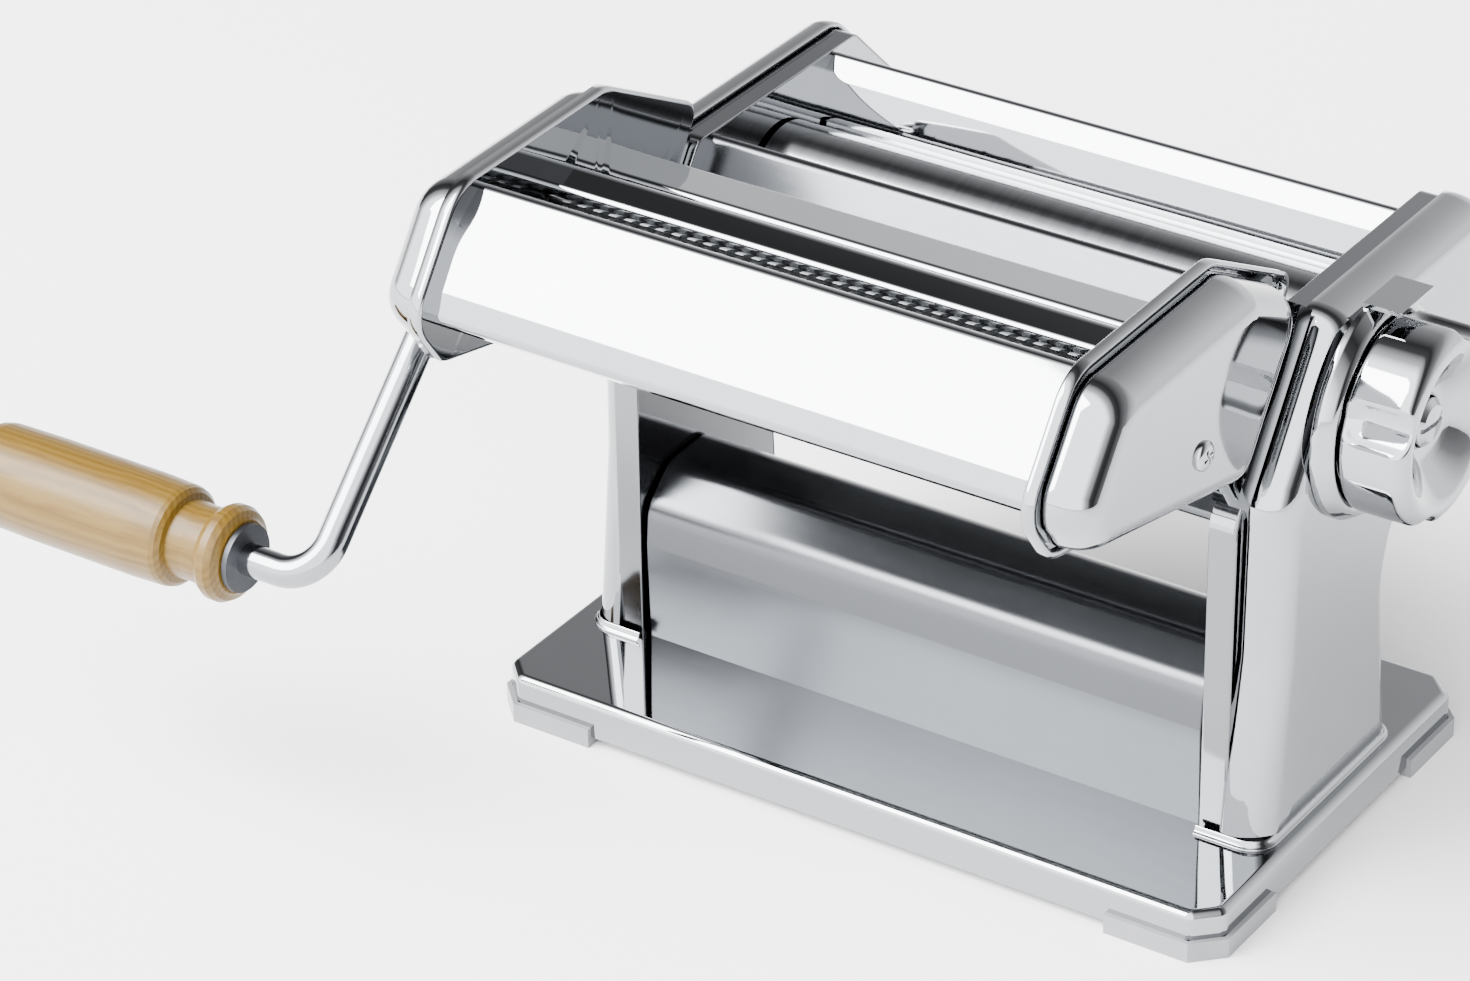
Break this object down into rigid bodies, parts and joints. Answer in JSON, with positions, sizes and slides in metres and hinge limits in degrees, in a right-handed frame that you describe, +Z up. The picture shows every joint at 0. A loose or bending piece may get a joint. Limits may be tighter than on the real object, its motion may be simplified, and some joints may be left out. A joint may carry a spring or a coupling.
{
  "type": "pasta roller machine",
  "caption": "Hand-cranked kitchen pasta roller: twin sheeting rollers, gap regulator knob and a lift-off head with narrow and wide cutters.",
  "frame": {"origin": "on the resting plane, under the middle of the base plate", "axes": "+X along the rollers towards the regulator knob, -Y towards the cutter head, +Z up"},
  "size_m": [0.3076, 0.227, 0.1612],
  "materials": {
    "chrome_sheet": "mirror polished plate",
    "chrome_knob": "polished",
    "grey_feet": "satin grey",
    "roller_steel": "turned and polished",
    "cutter_steel": "turned",
    "steel": "plain",
    "gear_steel": "oiled",
    "brass": "turned",
    "crank_chrome": "polished",
    "wood": "clear lacquer",
    "dark_washer": "dark grey"
  },
  "bodies": {
    "frame": {"base_plate": "chrome_sheet", "corner_feet": "grey_feet", "base_screws": "steel", "left_side_frame": "chrome_sheet", "right_side_frame": "chrome_sheet", "left_cover": "chrome_sheet", "right_cover": "chrome_sheet", "sheet_chute": "chrome_sheet", "front_wall": "chrome_sheet", "feed_plate": "chrome_sheet", "front_scraper": "steel", "rear_scraper": "steel", "stay_rods": "steel", "rear_roller_bushes": "brass", "guide_rails": "chrome_sheet", "knob_ring": "chrome_knob", "index_tab": "chrome_knob", "slide_springs": "steel"},
    "rear_roller": {"rear_roller": "roller_steel", "rear_roller_gear": "gear_steel"},
    "bearing_slides": {"left_bearing_slide": "steel", "right_bearing_slide": "steel"},
    "front_roller": {"front_roller": "roller_steel", "front_roller_gear": "gear_steel"},
    "regulator": {"regulator_shaft": "steel", "regulator_cams": "gear_steel", "knob_screw": "chrome_knob", "knob_spring": "steel"},
    "knob": {"regulator_knob": "chrome_knob"},
    "head": {"head_left_plate": "chrome_sheet", "head_right_plate": "chrome_sheet", "left_end_cap": "chrome_sheet", "right_end_cap": "chrome_sheet", "front_panel": "chrome_sheet", "centre_guard": "chrome_sheet", "rear_guard": "chrome_sheet", "head_tie_rod": "steel", "head_bushes": "brass", "guide_channels": "chrome_sheet", "cap_screws": "steel", "narrow_combs": "steel", "wide_combs": "steel"},
    "narrow_front": {"narrow_cutter_front": "cutter_steel", "narrow_gear_front": "brass"},
    "narrow_rear": {"narrow_cutter_rear": "cutter_steel", "narrow_gear_rear": "brass"},
    "wide_front": {"wide_cutter_front": "cutter_steel", "wide_gear_front": "brass"},
    "wide_rear": {"wide_cutter_rear": "cutter_steel", "wide_gear_rear": "brass"},
    "crank": {"crank_rod": "crank_chrome", "crank_pin": "steel", "grip_ferrule": "dark_washer"},
    "grip": {"wooden_grip": "wood"}
  },
  "joints": [
    {"name": "head_lift", "type": "slide", "parent": "frame", "child": "head", "axis": [0, 0.5664, 0.8241], "range_m": [0, 0.045]},
    {"name": "narrow_rear_spin", "type": "hinge", "parent": "head", "child": "narrow_rear", "pos_m": [0, -0.0635, 0.1345], "axis": [1, 0, 0], "continuous": true},
    {"name": "narrow_front_spin", "type": "hinge", "parent": "head", "child": "narrow_front", "pos_m": [0, -0.08243, 0.13873], "axis": [1, 0, 0], "continuous": true},
    {"name": "wide_front_spin", "type": "hinge", "parent": "head", "child": "wide_front", "pos_m": [0, -0.0432, 0.1268], "axis": [1, 0, 0], "continuous": true},
    {"name": "wide_rear_spin", "type": "hinge", "parent": "head", "child": "wide_rear", "pos_m": [0, -0.02427, 0.12257], "axis": [1, 0, 0], "continuous": true},
    {"name": "crank_pull", "type": "slide", "parent": "narrow_rear", "child": "crank", "axis": [-1, 0, 0], "range_m": [0, 0.025]},
    {"name": "grip_spin", "type": "hinge", "parent": "crank", "child": "grip", "pos_m": [-0.15, -0.12668, 0.07154], "axis": [1, 0, 0], "continuous": true},
    {"name": "rear_roller_spin", "type": "hinge", "parent": "frame", "child": "rear_roller", "pos_m": [0, 0.0645, 0.1075], "axis": [1, 0, 0], "continuous": true},
    {"name": "front_roller_spin", "type": "hinge", "parent": "bearing_slides", "child": "front_roller", "pos_m": [0, 0.0333, 0.1075], "axis": [1, 0, 0], "continuous": true},
    {"name": "regulator_turn", "type": "hinge", "parent": "frame", "child": "regulator", "pos_m": [0, 0.0105, 0.1085], "axis": [1, 0, 0], "range_deg": [-125, 125]},
    {"name": "roller_gap", "type": "slide", "parent": "frame", "child": "bearing_slides", "axis": [0, 1, 0], "range_m": [-0.0008, 0.0008]},
    {"name": "knob_pull", "type": "slide", "parent": "regulator", "child": "knob", "axis": [1, 0, 0], "range_m": [0, 0.003], "stiffness_N_per_m": 1500, "springref_m": -0.002}
  ],
  "couplings": [
    {"joint": "narrow_front_spin", "follows": "narrow_rear_spin", "ratio": -1},
    {"joint": "wide_rear_spin", "follows": "wide_front_spin", "ratio": -1},
    {"joint": "front_roller_spin", "follows": "rear_roller_spin", "ratio": -1},
    {"joint": "roller_gap", "follows": "regulator_turn", "m_per_rad": 0.000366}
  ]
}
